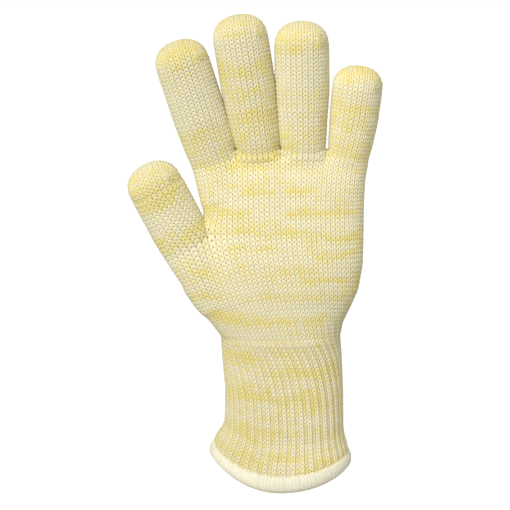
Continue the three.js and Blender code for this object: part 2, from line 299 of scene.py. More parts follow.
for n, (name, tube) in enumerate(tubes.items()):
    rows = index[name]
    turns = thumb_turns if name == "thumb" else finger_turns
    half = tube.width / 2 - SINK
    deep = tube.width / 2 * tube.depth_share - SINK
    for row, climb in zip(rows, np.linspace(80, 0, DOME_COURSES, endpoint=False)):
        share, height = dome(tube, climb)
        s = np.full(WALES, tube.dome_start + height)
        place[row] = tube.point(s, share * half * np.cos(turns), share * deep * np.sin(turns))
    courses = rows[DOME_COURSES:]
    for row, s in zip(courses, np.linspace(tube.dome_start, 0, len(courses))):
        half = tube.half_width(s) - SINK
        deep = tube.half_width(s) * tube.depth_share - SINK
        place[row] = tube.point(np.full(WALES, s), half * np.cos(turns), deep * np.sin(turns))
        above = s / COURSE
        free[row] = np.clip(1 - (above - FREE_BELOW) / (FIXED_ABOVE - FREE_BELOW), 0, 1)
        reach[row] = np.clip(1 - above / FEELS_BELOW, 0, 1)
    owner[rows] = n
    free[rows[:DOME_COURSES + 1]] = 0


def oval(sides, middle, height, around):
    """Points of a blunt oval at shares of its length, from -X by the front.

    Its sides are half widths to the left and right and half depths to the front and back.
    """
    fine = np.linspace(np.pi, 3 * np.pi, 721)
    c, s = np.cos(fine), np.sin(fine)
    x = np.sign(c) * np.abs(c) ** (2 / OVAL_POWER) * np.where(c < 0, sides[0], sides[1]) + middle
    y = np.sign(s) * np.abs(s) ** (2 / OVAL_POWER) * np.where(s < 0, sides[2], sides[3])
    run = np.concatenate([[0], np.cumsum(np.hypot(np.diff(x), np.diff(y)))])
    at = np.mod(around, 1) * run[-1]
    return np.stack([np.interp(at, run, x), np.interp(at, run, y), np.full(len(at), height)], -1)


def cuff_ring(up, around, inset):
    """A ring of the cuff, whose edge hangs lowest in front and behind."""
    shift, flare = table(CUFF, up, 1), table(CUFF, up, 2)
    half = WRIST_HALF + FLARE_WIDE * flare - inset
    deep = WRIST_DEEP + FLARE_DEEP * flare - inset
    ring = oval((half, half, deep, deep), shift, up * CUFF_LENGTH + HEM_FOOT, around)
    x = (ring[:, 0] - shift) / half
    ring[:, 2] += (HANG * x**2 - TILT * x * np.abs(x)) * (1 - up) ** 2
    return ring


def spread(rows, target):
    """Sets the rings between a first one and a target evenly between them."""
    for r, row in enumerate(rows[1:], 1):
        place[row] = place[rows[0]] + (target - place[rows[0]]) * r / (len(rows) - 1)
        owner[row] = palm_n


def shares_round(wales, first):
    """Where a ring's joints lie, as shares of its length from -X, when its first lies so many wales on."""
    return (np.arange(wales) + first - wales) / wales


WRIST_START = 8  # wales from -X to the wrist's first one
TWIST = 0.10  # share of the wrist's girth by which the wales turn to the right on the way down
TWIST_LEFT, TWIST_FADE = 0.55, 4.5  # so much of the twist comes below the wrist's top, and how soon
KNITTED = 0.96  # share of the cuff's height that is knitted: the rest is hem
crotch_section = [table(PALM, THUMB_CROTCH[1], c) - SINK for c in (1, 2, 3, 4)]
palm_round = shares_round(len(palm_ring), THUMB_TOP)
wrist_round = shares_round(len(heel_ring), WRIST_START)
spread(index["palm"], oval(crotch_section, 0, THUMB_CROTCH[1], palm_round))
spread(index["heel"], cuff_ring(1.0, wrist_round, SINK))
for r, row in enumerate(index["cuff"]):
    down = KNITTED * r / CUFF_COURSES
    turned = TWIST * (1 - TWIST_LEFT * math.exp(-TWIST_FADE * down))
    place[row] = cuff_ring(1 - down, wrist_round + turned, SINK)
    owner[row] = palm_n
    free[row] = 0
print("joints set out from", place[:, 2].min().round(1), "to", place[:, 2].max().round(1), "mm high")

# %% [markdown]
# ## The crotches
#
# Where two stalls part, the cloth runs over a saddle from the front to the back. The loops of both stalls
# hold each other there, so those joints are pinned. The saddle isn't drawn: it is the top of the form that
# the stalls and the palm make together, a soft blend of their tubes, found column by column.

# %% Pin the crotches
BLEND = 1.6  # mm within which two forms run into one
BLEND_DROP = 0.6  # the blend swells the forms by about this much, so it is taken off again
PUSHED_OFF = 20  # mm by which a form is out of reach for a point that doesn't feel it
SEARCH = np.linspace(12, -45, 229)  # heights in mm along a crotch's axis, a quarter of a mm apart


def form(points, own, feel):
    """How far points lie outside the whole glove. Away from the roots a point feels its own form alone."""
    far = np.stack([tube.outside(points) for tube in tubes.values()] + [palm_outside(points)])
    for n in range(len(far)):
        far[n] += np.where(own == n, 0, (1 - feel) * PUSHED_OFF)
    least = far.min(0)
    return least - BLEND * np.log(np.exp(-(far - least) / BLEND).sum(0)) + BLEND_DROP * feel


def crotch_line(x, z, lean, deep, count, apart):
    """Joints over the saddle of a crotch, from the front to the back, so many mm apart."""
    axis = np.array([math.sin(lean), 0, math.cos(lean)])
    line = []
    for depth in np.linspace(-deep, deep, 41):
        column = np.array([x, depth, z]) + SEARCH[:, None] * axis
        out = form(column, np.full(len(column), palm_n), np.ones(len(column)))
        line.append(column[np.argmax(out < 0)])
    line = np.array(line)
    for _ in range(6):
        line[1:-1] = (line[:-2] + 2 * line[1:-1] + line[2:]) / 4
    run = np.concatenate([[0], np.cumsum(np.linalg.norm(np.diff(line, axis=0), axis=1))])
    at = np.clip(run[-1] / 2 + (np.arange(count) - (count - 1) / 2) * apart, 0, run[-1])
    return np.stack([np.interp(at, run, line[:, k]) for k in range(3)], -1)


FINGER_SADDLE = dict(deep=12.5, count=SIDE + 1, apart=2.8)
THUMB_SADDLE = dict(deep=15.5, count=SHARED + 1, apart=2.5)
THUMB_BETWEEN = math.radians(-14)  # lean of the thumb's crotch, halfway between the thumb and the palm
for left, right, (x, z) in zip(order, order[1:], KNUCKLES[1:4]):
    joints = index[left][-1][FRONT:FRONT + SIDE + 1]
    between = math.radians(STALLS[left]["lean"] + STALLS[right]["lean"]) / 2
    place[joints] = crotch_line(x, z - 1.0, between, **FINGER_SADDLE)
    free[joints[1:-1]] = 0
joints = index["thumb"][-1][:SHARED + 1]
place[joints] = crotch_line(THUMB_CROTCH[0], THUMB_CROTCH[1] - 1.5, THUMB_BETWEEN, **THUMB_SADDLE)
free[joints[2:-2]] = 0
print("crotches pinned:", int((free == 0).sum()), "joints are fixed")

# %% [markdown]
# ## The pull of the yarn
#
# Each turn moves every free joint most of the way to the middle of its neighbours, and every few turns the
# joints go back to the glove's form. A cloth simulation would need the same pins and the same form, and
# would take far longer for the same even loops.

# %% Let the yarn pull the net smooth
PULLS = 900
PULL = 0.7  # share of the way to the neighbours' middle
FORM_EVERY = 6  # turns between two moves back to the form
STEP = 0.2  # mm to each side for measuring the form's slope
neighbours = np.bincount(links.ravel(), minlength=len(place)).astype(float)


def onto_form(points, own, feel):
    """Moves points onto the glove's form, along its slope."""
    for _ in range(2):
        here = form(points, own, feel)
        slope = np.stack([(form(points + step, own, feel) - form(points - step, own, feel)) / (2 * STEP)
                          for step in STEP * np.eye(3)], -1)
        steep = np.maximum((slope**2).sum(1), 0.2)
        points = points - np.clip(here / steep, -3, 3)[:, None] * slope
    return points


moving = np.where(free > 0)[0]
for pull in range(PULLS):
    total = np.zeros_like(place)
    for k in range(3):
        total[:, k] = (np.bincount(links[:, 0], place[links[:, 1], k], len(place))
                       + np.bincount(links[:, 1], place[links[:, 0], k], len(place)))
    mean = total / neighbours[:, None]
    place[moving] += (PULL * free[moving])[:, None] * (mean - place)[moving]
    if pull % FORM_EVERY == FORM_EVERY - 1:
        place[moving] = onto_form(place[moving], owner[moving], reach[moving])


def set_net():
    """Gives the places to the net's joints and returns their outward directions."""
    for vert, where in zip(net.verts, place):
        vert.co = where * MM
    net.normal_update()
    return np.array([vert.normal for vert in net.verts])


normal = set_net()
lengths = np.linalg.norm(place[links[:, 0]] - place[links[:, 1]], axis=1)
print("net pulled smooth: its links are", lengths.mean().round(2), "mm long on average")

# %% [markdown]
# ## Folds at the roots
#
# The stalls are tighter than the palm, so the cloth swells where a stall begins and folds below it. The
# middle and ring fingers stand out over the palm as rounded ends, and creases run down from the crotches.
# The neighbouring fingers' sides swell too, until they touch.

# %% Fold the net at the roots
FOLDS = [  # ring name, middle column, half columns, middle row, half rows, depth in mm
    ("palm", 12, 3.6, 1.8, 1.4, 1.6),
    ("palm", 20, 3.6, 2.8, 1.4, 1.3),
    ("palm", 28, 3.6, 2.5, 1.3, 0.5),
    ("palm", 8, 1.0, 0.5, 3.0, 1.8),
    ("palm", 16, 1.0, 0.5, 3.0, 1.8),
    ("palm", 24, 1.0, 0.5, 3.0, 1.6),
    ("heel", 0, 1.3, 1.0, 5.0, 1.6),
    ("middle_finger", 4, 3.6, -4, 5, -1.5),
    ("ring_finger", 4, 3.6, -3, 5, -1.2),
    ("little_finger", 4, 3.6, -4, 5, -0.6),
    ("index_finger", 11, 3.6, -6, 5.0, -1.0),
    ("middle_finger", 25, 3.6, -6, 5.0, -1.0),
    ("middle_finger", 11, 3.6, -5, 4.0, -0.7),
    ("ring_finger", 25, 3.6, -5, 4.0, -0.7),
    ("ring_finger", 11, 3.6, -9, 6.0, 0.7),
    ("little_finger", 25, 3.6, -9, 6.0, 0.9),
]
depth = np.zeros(len(place))
for name, column, half_columns, row, half_rows, deep in FOLDS:
    r, w = np.indices(index[name].shape)
    width = index[name].shape[1]
    row = row % len(index[name])
    off = (w - column + width / 2) % width - width / 2
    amount = deep * np.exp(-((off / half_columns) ** 4) - ((r - row) / half_rows) ** 2)
    here = depth[index[name]]
    depth[index[name]] = np.where(np.abs(amount) > np.abs(here), amount, here)
place -= depth[:, None] * normal
normal = set_net()
print("folds:", len(FOLDS), "- up to", depth.max(), "mm deep, and swellings up to", -depth.min(), "mm high")

# %% [markdown]
# ## Pieces and their places
#
# Every piece rides on the glove's one body. A knitted piece takes the place of the plain part that it stands
# for.


# %% Put a piece on the glove
def add_piece(name, mesh, material, stands_for=()):
    """Makes an object of a mesh in metres, and gives it its finish and its place in the frame."""
    mesh.polygons.foreach_set("use_smooth", np.ones(len(mesh.polygons), bool))
    mesh.materials.append(material)
    piece = bpy.data.objects.new(name, mesh)
    bpy.context.scene.collection.objects.link(piece)
    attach(piece, "root")
    if stands_for:
        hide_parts(*stands_for)
    print(name, "has", len(mesh.polygons), "faces")
    return piece


# %% [markdown]
# ## The yarn's finish
#
# Aramid is yellow by nature, and this yarn is spun with cream fibre in it, so its colour wanders between the
# two along each course. Spun yarn is dull, with a roughness near 0.85 and a little sheen from loose fibre.
# Two plies, one of them yellower, are twisted together. Plies and fibres are too fine to model, so they are
# a wave and a noise along each grain, in its colour and as a bump. The fibres, far under a tenth of a mm
# thick, are drawn as tufts of 0.4 by 1.4 mm, which is as coarse as they need to show.


# %% Make the finishes
def linear(code):
    """A colour from its sRGB hex code, in linear light."""
    parts = np.array([int(code[k:k + 2], 16) for k in (1, 3, 5)]) / 255
    return (*np.where(parts <= 0.04045, parts / 12.92, ((parts + 0.055) / 1.055) ** 2.4), 1)


def add_node(tree, kind, inputs=None, **settings):
    """Adds a node. Its inputs are values or other nodes' outputs."""
    made = tree.nodes.new(kind)
    for key, value in settings.items():
        setattr(made, key, value)
    for key, value in (inputs or {}).items():
        if isinstance(value, bpy.types.NodeSocket):
            tree.links.new(value, made.inputs[key])
        else:
            made.inputs[key].default_value = value
    return made


WAVE_UNIT = 0.2 * math.pi  # a wave's scale for one stripe along a diagonal
PLY_STRIPES = (WAVE_UNIT * 4, WAVE_UNIT * 3.4, 1)  # four round the yarn, and one to 1.2 mm of its length
FIBRE_TUFTS = (14, 3, 1)  # round the yarn, and in 4.2 mm of its length
PLY_DEPTH = 0.00015  # metres


def yarn(name, pale, strong):
    """Dull spun yarn, whose colour runs from a pale to a strong one by each loop's own numbers."""
    material = bpy.data.materials.new(name)
    material.use_nodes = True
    tree = material.node_tree
    shader = tree.nodes["Principled BSDF"]
    yellow = add_node(tree, "ShaderNodeAttribute", attribute_name="Yellow")
    tone = add_node(tree, "ShaderNodeAttribute", attribute_name="Tone")
    along = add_node(tree, "ShaderNodeUVMap", uv_map="Yarn")
    fibre_map = add_node(tree, "ShaderNodeMapping", {"Vector": along.outputs[0], "Scale": FIBRE_TUFTS})
    fibre = add_node(tree, "ShaderNodeTexNoise",
                     {"Vector": fibre_map.outputs[0], "Scale": 1.0, "Detail": 2.0})
    ply_map = add_node(tree, "ShaderNodeMapping", {"Vector": along.outputs[0], "Scale": PLY_STRIPES})
    plies = add_node(tree, "ShaderNodeTexWave",
                     {"Vector": ply_map.outputs[0], "Scale": 1.0, "Distortion": 1.5},
                     bands_direction="DIAGONAL")
    height = add_node(tree, "ShaderNodeMix", {0: 0.5, 2: fibre.outputs[0], 3: plies.outputs["Fac"]})
    offset = add_node(tree, "ShaderNodeMapRange",
                      {"Value": height.outputs[0], "From Min": 0.25, "From Max": 0.75,
                       "To Min": 0.35, "To Max": -0.35})
    share = add_node(tree, "ShaderNodeMath", {0: yellow.outputs["Fac"], 1: offset.outputs[0]},
                     use_clamp=True)
    colour = add_node(tree, "ShaderNodeMix", {0: share.outputs[0], 6: linear(pale), 7: linear(strong)},
                      data_type="RGBA")
    toned = add_node(tree, "ShaderNodeHueSaturation",
                     {"Value": tone.outputs["Fac"], "Color": colour.outputs[2]})
    bump = add_node(tree, "ShaderNodeBump",
                    {"Height": height.outputs[0], "Strength": 0.7, "Distance": PLY_DEPTH})
    tree.links.new(toned.outputs[0], shader.inputs["Base Color"])
    tree.links.new(bump.outputs[0], shader.inputs["Normal"])
    shader.inputs["Roughness"].default_value = 0.85
    shader.inputs["IOR"].default_value = 1.5
    shader.inputs["Specular IOR Level"].default_value = 0.3
    shader.inputs["Sheen Weight"].default_value = 0.3
    shader.inputs["Sheen Tint"].default_value = linear("#f2d66a")
    return material


KNIT = yarn("aramid_yarn", "#fbf5d8", "#f6e689")
RIB = yarn("rib_yarn", "#fbf4d8", "#f4e58b")
THREAD = yarn("hem_yarn", "#fffce9", "#fbf1cc")
print("yarns:", KNIT.name, RIB.name, THREAD.name)

# %% [markdown]
# ## The inner side's finish and its painted shade
#
# Inside the wrist the backs of the courses show, as soft ridges one course apart, in a duller yarn than on
# the outside. They are a wave over the height of the glove, so they go through every part. The same surface
# is the ground seen between the loops, so its colour is painted shade: yellower and darker than the loops.

# %% The inner side's finish and its painted shade
RIDGES = round(math.pi / (10 * COURSE * MM))  # a wave's scale for one ridge to a course
PATCHES = 90.0  # a noise's scale for patches about 11 mm across
RIDGE_DEPTH = 0.0006  # metres
SHADED_LINING = bpy.data.materials.new("aramid_lining_shaded")
SHADED_LINING.use_nodes = True
tree = SHADED_LINING.node_tree
inside = add_node(tree, "ShaderNodeTexCoord")
ridges = add_node(tree, "ShaderNodeTexWave",
                  {"Vector": inside.outputs["Object"], "Scale": RIDGES, "Distortion": 2.5,
                   "Detail": 2.0, "Detail Scale": 3.0}, bands_direction="Z")
wander = add_node(tree, "ShaderNodeTexNoise",
                  {"Vector": inside.outputs["Object"], "Scale": PATCHES, "Detail": 2.0})
patches = add_node(tree, "ShaderNodeMix", {0: 0.35, 2: wander.outputs[0], 3: ridges.outputs["Fac"]})
# painted shade: the ground's yellow, darker than the loops, stands for the shade between them
lining_shade_colour = add_node(tree, "ShaderNodeMix",
                         {0: patches.outputs[0], 6: linear("#e9cf6e"), 7: linear("#f8eab0")},
                         data_type="RGBA")
loops_bump = add_node(tree, "ShaderNodeBump",
                      {"Height": ridges.outputs["Fac"], "Strength": 0.8, "Distance": RIDGE_DEPTH})
lining = tree.nodes["Principled BSDF"]
tree.links.new(lining_shade_colour.outputs[2], lining.inputs["Base Color"])
tree.links.new(loops_bump.outputs[0], lining.inputs["Normal"])
lining.inputs["Roughness"].default_value = 0.9
lining.inputs["IOR"].default_value = 1.5
lining.inputs["Specular IOR Level"].default_value = 0.3
print("inner side:", SHADED_LINING.name, "with a ridge to each", COURSE, "mm")

# %% [markdown]
# ## The cloth's ground
#
# Behind the loops' legs lies the cloth itself: the backs of the loops, which close the glove to the light.
# It is the net's own surface with a thickness, so it follows every finger and crotch, and it is open at the
# wrist.

# %% The glove's wall
WALL = 1.6
RAISED = 0.4  # so far the wall stands up between the loops' feet
ground = bpy.data.meshes.new("glove_wall")
net.to_mesh(ground)
ground.vertices.foreach_set("co", ((place + RAISED * normal) * MM).ravel())
wall = add_piece("glove_wall", ground, SHADED_LINING)
thick = wall.modifiers.new("wall", "SOLIDIFY")
thick.thickness = WALL * MM
thick.offset = -1
print("wall:", len(ground.polygons), "faces,", WALL, "mm thick")

# %% [markdown]
# ## One loop of yarn
#
# Seen from the outside a plain loop shows two legs that lean together towards the fingertip. Each leg is a
# short five-sided grain, fat in the middle and sunk into the ground at both ends. The loop is built once, in
# the millimetres of a cell 3.3 wide and 2.55 high, and then set into every cell of the net.

# %% Build the loops once
CELL = np.array([3.3, COURSE])


def grain(path, radii, sides=5):
    """A short closed piece of yarn along a path of points (across, up, out)."""
    mesh = bmesh.new()
    rows = knit_down(mesh, cast_on(mesh, sides), len(path) - 1)
    path = np.array(path, float)
    tangents = np.gradient(path, axis=0)
    for row, centre, tangent, radius in zip(rows, path, tangents, radii):
        tangent /= np.linalg.norm(tangent)
        side = np.cross(tangent, [0, 0, 1])
        side /= np.linalg.norm(side)
        out = np.cross(side, tangent)
        for k, vert in enumerate(row):
            turn = math.pi / 2 + 2 * math.pi * k / sides
            vert.co = centre + radius * (math.cos(turn) * side + math.sin(turn) * out)
    number = {vert: (r, k) for r, row in enumerate(rows) for k, vert in enumerate(row)}
    bmesh.ops.holes_fill(mesh, edges=mesh.edges)
    bmesh.ops.recalc_face_normals(mesh, faces=mesh.faces)
    layer = mesh.loops.layers.uv.new("OFBake")
    for face in mesh.faces:
        seam = {number[v][1] for v in face.verts} == {0, sides - 1}
        for loop in face.loops:
            r, k = number[loop.vert]
            if len(face.verts) == sides:  # an end's cap, as a flat fan at the map's foot or head
                end = 0.03 if r == 0 else 0.97
                turn = 2 * math.pi * k / sides
                loop[layer].uv = (0.5 + 0.3 * math.cos(turn), end + 0.02 * math.sin(turn))
            else:  # the side, unrolled between the map's margins
                k = sides if seam and k == 0 else k
                loop[layer].uv = (0.06 + 0.88 * k / sides, 0.08 + 0.84 * r / (len(rows) - 1))
    return mesh


def as_arrays(parts):
    """Points, faces and UVs of some grains, side by side, ready to be repeated."""
    points, corners, sizes, uvs, part_of, point_part = [], [], [], [], [], []
    start = 0
    for n, mesh in enumerate(parts):
        mesh.verts.index_update()
        layer = mesh.loops.layers.uv["OFBake"]
        points += [list(v.co) for v in mesh.verts]
        for face in mesh.faces:
            sizes.append(len(face.verts))
            corners += [start + v.index for v in face.verts]
            uvs += [list(loop[layer].uv) for loop in face.loops]
            part_of += [n] * len(face.verts)
        point_part += [n] * len(mesh.verts)
        start += len(mesh.verts)
    return dict(points=np.array(points), corners=np.array(corners), sizes=np.array(sizes), uvs=np.array(uvs),
                part_of=np.array(part_of), point_part=np.array(point_part), parts=len(parts))


def mirrored(path):
    """The same path on the other side of the wale."""
    return [(-across, up, out) for across, up, out in path]


LEG = [  # mm across from the wale's middle, up from the cell's foot, and out of the ground
    (0.22, 3.35, -0.2),
    (0.40, 2.45, 0.70),
    (0.80, 1.30, 0.85),
    (1.18, 0.15, 0.60),
    (1.42, -0.70, -0.2),
]
LEG_RADII = (0.50, 0.80, 0.86, 0.80, 0.50)
plain_loop = as_arrays([grain(LEG, LEG_RADII), grain(mirrored(LEG), LEG_RADII)])
print("a plain loop has", len(plain_loop["points"]), "points and", len(plain_loop["sizes"]), "faces")

# %% [markdown]
# ## The cells that the loops fill
#
# A cell is one loop's place: four corners with their outward directions. Most cells are the net's own faces.
# On the domes the wales run straight over the tip from the front to the back, so the cells there follow
# lines of equal width over the dome instead.


# %% Cells of the net and of the domes
def net_cells(rows):
    """Cells between rings, with their corners from the upper left one by the upper right one round."""
    upper, lower = rows[:-1], rows[1:]
    w = np.arange(upper.shape[1])
    after = (w + 1) % len(w)
    quads = np.stack([upper, upper[:, after], lower[:, after], lower], -1)
    course, wale = np.meshgrid(np.arange(len(upper)), w, indexing="ij")
    return dict(corners=place[quads].reshape(-1, 4, 3), outward=normal[quads].reshape(-1, 4, 3),
                course=course.ravel(), wale=wale.ravel())


def dome_line(tube, x, shares):
    """Points (deep, high) and directions over a dome's front at one share across, at shares of the climb."""
    half = tube.width / 2 - SINK
    deep = tube.width / 2 * tube.depth_share - SINK
    y = -deep * math.sqrt(max(0, 1 - x * x)) * np.cos(np.linspace(0, np.pi / 2, 61))
    h = half * np.maximum(0, 1 - np.hypot(x, y / deep) ** BLUNT) ** (1 / BLUNT)
    run = np.concatenate([[0], np.cumsum(np.hypot(np.diff(y), np.diff(h)))])
    y = np.interp(shares * run[-1], run, y)
    h = np.interp(shares * run[-1], run, h)
    share = np.maximum(np.hypot(x, y / deep), 0.001)
    out = np.stack([share ** (BLUNT - 2) * x / half, share ** (BLUNT - 2) * y / deep**2,
                    (h / half) ** (BLUNT - 1) / half], -1)
    return y, h, out, run[-1]


def dome_cells(tube):
    """Cells over a stall's dome, wale by wale, up the front and up the back to the tip's line."""
    edges = -np.cos(np.pi * np.arange(WALES // 2 + 1) / (WALES // 2))
    half = tube.width / 2 - SINK
    corners, outward, course = [], [], []
    for k in range(WALES // 2):
        climb = dome_line(tube, (edges[k] + edges[k + 1]) / 2, np.ones(1))[3]
        count = max(1, round(climb / COURSE))
        shares = np.arange(count + 1) / count
        for flip in (1, -1):
            pair = []
            for x in (edges[k], edges[k + 1])[::flip]:
                y, h, out, _ = dome_line(tube, x, shares)
                points = tube.point(tube.dome_start + h, np.full(len(h), x * half), flip * y)
                out = out[:, :1] * tube.across + flip * out[:, 1:2] * [0, 1, 0] + out[:, 2:] * tube.along
                pair.append((points, out / np.linalg.norm(out, axis=1, keepdims=True)))
            (left, left_out), (right, right_out) = pair
            corners.append(np.stack([left[1:], right[1:], right[:-1], left[:-1]], 1))
            outward.append(np.stack([left_out[1:], right_out[1:], right_out[:-1], left_out[:-1]], 1))
            course.append(-1 - np.arange(count))
    return dict(corners=np.concatenate(corners), outward=np.concatenate(outward),
                course=np.concatenate(course))


def joined(*groups):
    """Several groups of cells as one."""
    return {key: np.concatenate([group[key] for group in groups]) for key in groups[0]}


cells = {}
for name, tube in tubes.items():
    courses = index[name][DOME_COURSES:]
    cells[name] = joined(dome_cells(tube), net_cells(courses))
    cells[name]["course"] += 1 - len(courses) + (PALM_COURSES if name == "thumb" else 0)
HALF_HEEL = HEEL_COURSES // 2
cells["palm_upper"] = net_cells(index["palm"])
cells["palm_middle"] = net_cells(index["heel"][:HALF_HEEL + 1])
cells["palm_lower"] = net_cells(index["heel"][HALF_HEEL:])
cells["cuff"] = net_cells(index["cuff"])
cells["palm_middle"]["course"] += PALM_COURSES
cells["palm_lower"]["course"] += PALM_COURSES + HALF_HEEL
cells["cuff"]["course"] += PALM_COURSES + HEEL_COURSES
print("loops:", {name: len(group["course"]) for name, group in cells.items()})

# %% [markdown]
# ## Colour of each loop
#
# The yarn's colour stays the same for some loops along a course and for one to three courses, so smooth
# random numbers, longer across than up, choose how yellow each loop is. The longest streaks of this glove's
# front are charted on top, each as a line across the palm or the wrist with a height and a
# strength.


# %% Choose the loops' colours
STREAKS_AND_SHADOW = [  # from x and height to x and height in mm, half height, how much more yellow
    # the first row is painted shadow: the yellow arc below the middle finger's rounded base, which stands
    # out over the palm
    (-24, 200, -1, 200, 1.6, 0.5),
    (-47, 194, 2, 194, 2.0, 0.3),
    (-40, 184, -22, 184, 1.3, 0.25),
    (-22, 181, -5, 180, 2.6, 0.5),
    (-5, 180, 22, 180, 1.8, 0.3),
    (0, 189, 45, 188, 2.0, -0.2),
    (-38, 177, -22, 175, 2.5, -0.3),
    (-20, 174, 28, 172, 2.5, -0.2),
    (-46, 168, -20, 167, 2.0, 0.5),
    (3, 167, 46, 166, 1.7, 0.35),
    (0, 161, 46, 161, 2.0, -0.3),
    (-38, 156, -2, 156, 2.0, 0.3),
    (-2, 156, 28, 155, 2.4, 0.35),
    (26, 152, 46, 152, 2.2, 0.5),
    (-45, 150, 5, 150, 1.2, -0.2),
    (-38, 147, 0, 146, 1.4, 0.25),
    (21, 142, 45, 142, 1.8, 0.5),
    (-25, 140, 20, 138, 3.0, -0.2),
    (-60, 128, -35, 137, 1.2, 0.3),
    (-3, 133, 22, 133, 1.8, 0.3),
    (13, 127, 40, 127, 1.8, 0.4),
    (42, 128, 50, 124, 5.0, 0.6),
    (-45, 121, 40, 122, 1.6, -0.3),
    (-15, 118, 46, 117, 2.8, 0.3),
    (-50, 112, 30, 110, 2.0, -0.3),
    (-42, 105, -20, 103, 2.8, 0.6),
    (-22, 102, 25, 103, 2.0, 0.4),
    (-30, 94, 22, 91, 5.0, -0.15),
    (-33, 81, -8, 80, 2.3, 0.4),
    (-10, 73, 33, 72, 2.8, 0.45),
    (-27, 68, 20, 66, 2.2, -0.25),
    (-24, 58, 25, 56, 2.6, 0.45),
    (-24, 52, 5, 51, 1.6, -0.35),
    (0, 44, 30, 43, 4.0, -0.3),
    (-24, 39, 8, 33, 1.8, 0.5),
    (-14, 28, 30, 29, 3.5, -0.3),
    (-40, 27, -12, 17, 2.2, 0.4),
    (-24, 13, 0, 11, 1.6, 0.35),
    (16, 12, 32, 15, 1.8, 0.5),
]
STREAK_GAIN = 1.7  # how much stronger a streak is drawn than charted, as the loops' own colours mask it
CUFF_GAIN = 0.65  # and how much of that is left on the ribs, which break a streak up
print("streaks charted:", len(STREAKS_AND_SHADOW))


def mottle(places, size, seed):
    """Smooth random numbers from 0 to 1 over places in mm that change over a size in each direction."""
    grid = np.random.default_rng(seed).random((32, 32, 64))
    scaled = places / size
    base = np.floor(scaled).astype(int)
    part = scaled - base
    part = part * part * (3 - 2 * part)
    total = 0
    for corner in np.ndindex(2, 2, 2):
        weight = np.prod(np.where(corner, part, 1 - part), axis=1)
        i, j, k = ((base + corner) % grid.shape).T
        total = total + weight * grid[i, j, k]
    return total


def charted(places, shift):
    """How much more yellow the charted streaks, and the painted shadow under the middle finger, make loops
    of the front at places in mm.
    """
    x, y, height = places.T
    more = np.zeros(len(places))
    for x0, z0, x1, z1, half, amount in STREAKS_AND_SHADOW:
        line = np.interp(x, (x0, x1), (z0, z1)) + shift
        ends = np.clip(((x1 - x0) / 2 + 2 - np.abs(x - (x0 + x1) / 2)) / 6, 0, 1)
        more += STREAK_GAIN * amount * ends * np.exp(-(((height - line) / half) ** 2))
    more *= np.where(height < CUFF_LENGTH, CUFF_GAIN, 1)
    return np.where(y < 0, more, 0)


def colours(group, bias, bands=(), bright=1.0):
    """How yellow and how bright each loop is. Bands give (first course, last course, more yellow)."""
    real = group["corners"].mean(1)
    places = real.copy()
    places[:, 2] = group["course"] * COURSE
    places[:, 2] += 3 * mottle(places, (14, 14, 14), 4)  # streaks leave their course by up to 3 mm
    slow = mottle(places, (26, 26, 5.0), 1)  # long streaks, two courses high
    quick = mottle(places, (8, 8, 2.8), 2)  # short ones of two or three loops
    grainy = np.random.default_rng(3).random(len(places))  # each loop's own share
    front = 0.6 if bands else 0.4  # how strong the long streaks are where others are charted
    spread_out = np.where(real[:, 1] < 0, front, 1.1)
    yellow = bias + spread_out * (slow - 0.5) + 0.55 * (quick - 0.5) + 0.6 * (grainy - 0.5)
    course = group["course"] + 3 * (mottle(places, (9, 9, 9), 6) - 0.5)  # a band's edges waver
    for first, last, more in bands:
        yellow += more * np.clip((last - first) / 4 + 0.9 - np.abs(course - (first + last) / 2) / 2, 0, 1)
    if not bands:
        yellow += charted(real, 2.5 * (quick - 0.5))
    return np.clip(yellow, 0, 1), bright * (1 + 0.05 * (grainy - 0.5))


# %% [markdown]
# ## Setting the loops in
#
# A piece is one mesh that holds thousands of copies of the same loop, so their points, faces and maps are
# repeated as whole arrays, and each copy is bent to its own cell. Every grain gets its own square of the
# map OFBake, and a stretch of the map Yarn that starts at a place of its own, so no two look the same.

# %% Fill cells with loops
CREVICE_SHADE = 0.7  # painted light and shade: grains are painted yellower near the ground, between them, and paler on their crowns
LEG_SPREAD = 0.3  # how much the two legs of a loop may differ
OUTERMOST = 1.6  # mm from the ground to the top of a grain
YARN_STRETCH = 1.4  # length of the map Yarn that a grain takes


